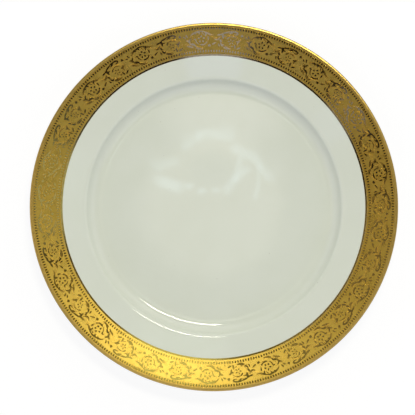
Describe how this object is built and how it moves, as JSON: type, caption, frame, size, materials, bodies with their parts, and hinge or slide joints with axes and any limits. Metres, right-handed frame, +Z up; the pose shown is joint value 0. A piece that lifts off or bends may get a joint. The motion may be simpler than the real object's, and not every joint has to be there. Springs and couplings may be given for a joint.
{
  "type": "dinner plate",
  "caption": "Round porcelain dinner plate with a sunken well, a sloping rim and a foot ring, its rim trimmed with an etched gold band of rosettes and leaf scrolls.",
  "frame": {"origin": "middle of the foot ring's resting face, on the table", "axes": "+Z up along the plate's axis, out of the well; +Y is the top of the plate as it is seen from above, where a star flower stands"},
  "size_m": [0.267, 0.267, 0.0209],
  "materials": {
    "bisque_porcelain": "matte",
    "glaze": "polished",
    "etched_gold": "satin",
    "burnished_gold": "polished"
  },
  "bodies": {
    "root": {"porcelain_body": "bisque_porcelain", "main_glaze": "glaze", "recess_glaze": "glaze", "etched_gold_band": "etched_gold", "gold_inner_line": "burnished_gold", "gold_lip_line": "burnished_gold"}
  },
  "joints": []
}
